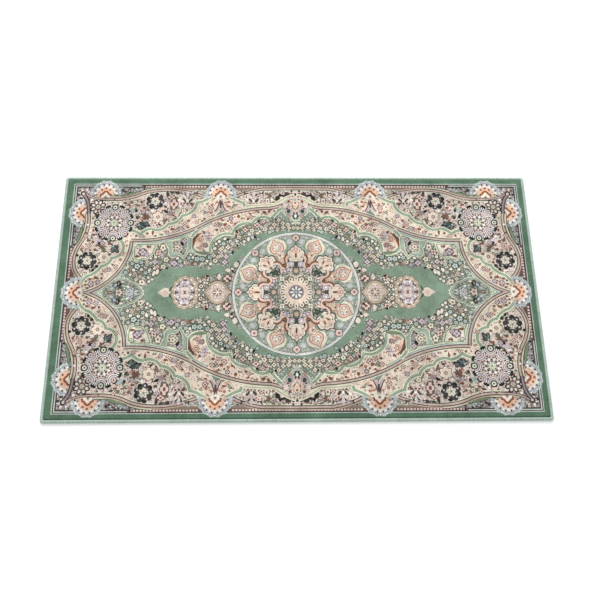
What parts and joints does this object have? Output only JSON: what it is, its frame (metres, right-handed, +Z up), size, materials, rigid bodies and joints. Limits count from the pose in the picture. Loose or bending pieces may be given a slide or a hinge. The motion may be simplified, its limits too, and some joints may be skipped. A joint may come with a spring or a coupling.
{
  "type": "moquette doormat",
  "caption": "Flat rectangular doormat of woven cut pile with a medallion carpet pattern and an overlocked yarn edge, to wipe shoes on at a door.",
  "frame": {"origin": "middle of the mat, on the surface that it lies on", "axes": "+X along the long side, +Y along the short side towards the far edge, +Z up out of the pile"},
  "size_m": [1.1, 0.6, 0.008],
  "materials": {
    "pile": "short dense cut pile in green, cream, peach, lilac, rust and charcoal yarns, soft and slightly sheeny",
    "edge_yarn": "sage green overlocked yarn, stitches side by side across the edge, matt"
  },
  "bodies": {
    "root": {"pile_fabric": "pile", "yarn_edge": "edge_yarn"}
  },
  "joints": []
}
